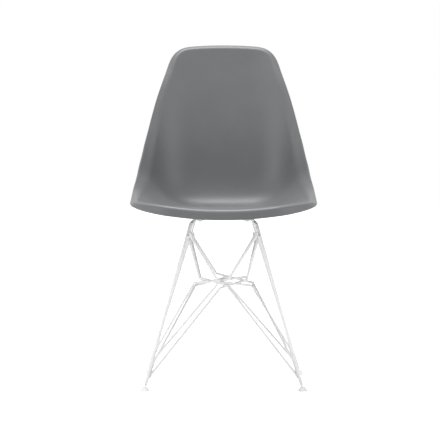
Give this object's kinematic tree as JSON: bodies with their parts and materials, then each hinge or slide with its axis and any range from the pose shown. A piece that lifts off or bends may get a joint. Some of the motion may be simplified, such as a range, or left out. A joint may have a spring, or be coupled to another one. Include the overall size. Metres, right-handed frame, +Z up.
{
  "type": "moulded plastic shell chair",
  "caption": "Side chair: one-piece moulded plastic seat and back shell on a welded wire base with crossing braces and self-levelling glides",
  "frame": {"origin": "on the floor under the middle of the overall box", "axes": "+Z up, -Y towards the front edge of the seat, +X to the right as seen from the front"},
  "size_m": [0.4579, 0.5357, 0.8342],
  "materials": {
    "shell": "satin, fine moulded grain",
    "wire": "white powder coat",
    "glide": "satin",
    "rubber": "matte",
    "brass": "turned, knurled outside",
    "zinc": "zinc plated"
  },
  "bodies": {
    "chair": {"ball_stud_front_left": "zinc", "ball_stud_front_right": "zinc", "ball_stud_rear_left": "zinc", "ball_stud_rear_right": "zinc", "centre_wire_front_left": "wire", "centre_wire_front_right": "wire", "centre_wire_rear_left": "wire", "centre_wire_rear_right": "wire", "corner_wire_front_left": "wire", "corner_wire_front_right": "wire", "corner_wire_rear_left": "wire", "corner_wire_rear_right": "wire", "insert_front_left": "brass", "insert_front_right": "brass", "insert_rear_left": "brass", "insert_rear_right": "brass", "mount_plate_front_left": "wire", "mount_plate_front_right": "wire", "mount_plate_rear_left": "wire", "mount_plate_rear_right": "wire", "mount_screw_front_left": "zinc", "mount_screw_front_right": "zinc", "mount_screw_rear_left": "zinc", "mount_screw_rear_right": "zinc", "seat_shell": "shell", "side_frame_left": "wire", "side_frame_right": "wire", "spacer_front_left": "rubber", "spacer_front_right": "rubber", "spacer_rear_left": "rubber", "spacer_rear_right": "rubber"},
    "glide_front_left": {"glide_front_left": "glide"},
    "glide_front_right": {"glide_front_right": "glide"},
    "glide_rear_left": {"glide_rear_left": "glide"},
    "glide_rear_right": {"glide_rear_right": "glide"}
  },
  "joints": [
    {"name": "glide_front_left_tilt", "type": "hinge", "parent": "chair", "child": "glide_front_left", "pos_m": [-0.193, -0.217, 0.0066], "axis": [-0.6739, 0.7389, 0], "range_deg": [-8, 8]},
    {"name": "glide_front_right_tilt", "type": "hinge", "parent": "chair", "child": "glide_front_right", "pos_m": [0.193, -0.217, 0.0066], "axis": [-0.6739, -0.7389, 0], "range_deg": [-8, 8]},
    {"name": "glide_rear_left_tilt", "type": "hinge", "parent": "chair", "child": "glide_rear_left", "pos_m": [-0.1925, 0.173, 0.0066], "axis": [0.6296, 0.777, 0], "range_deg": [-8, 8]},
    {"name": "glide_rear_right_tilt", "type": "hinge", "parent": "chair", "child": "glide_rear_right", "pos_m": [0.1925, 0.173, 0.0066], "axis": [0.6296, -0.777, 0], "range_deg": [-8, 8]}
  ]
}
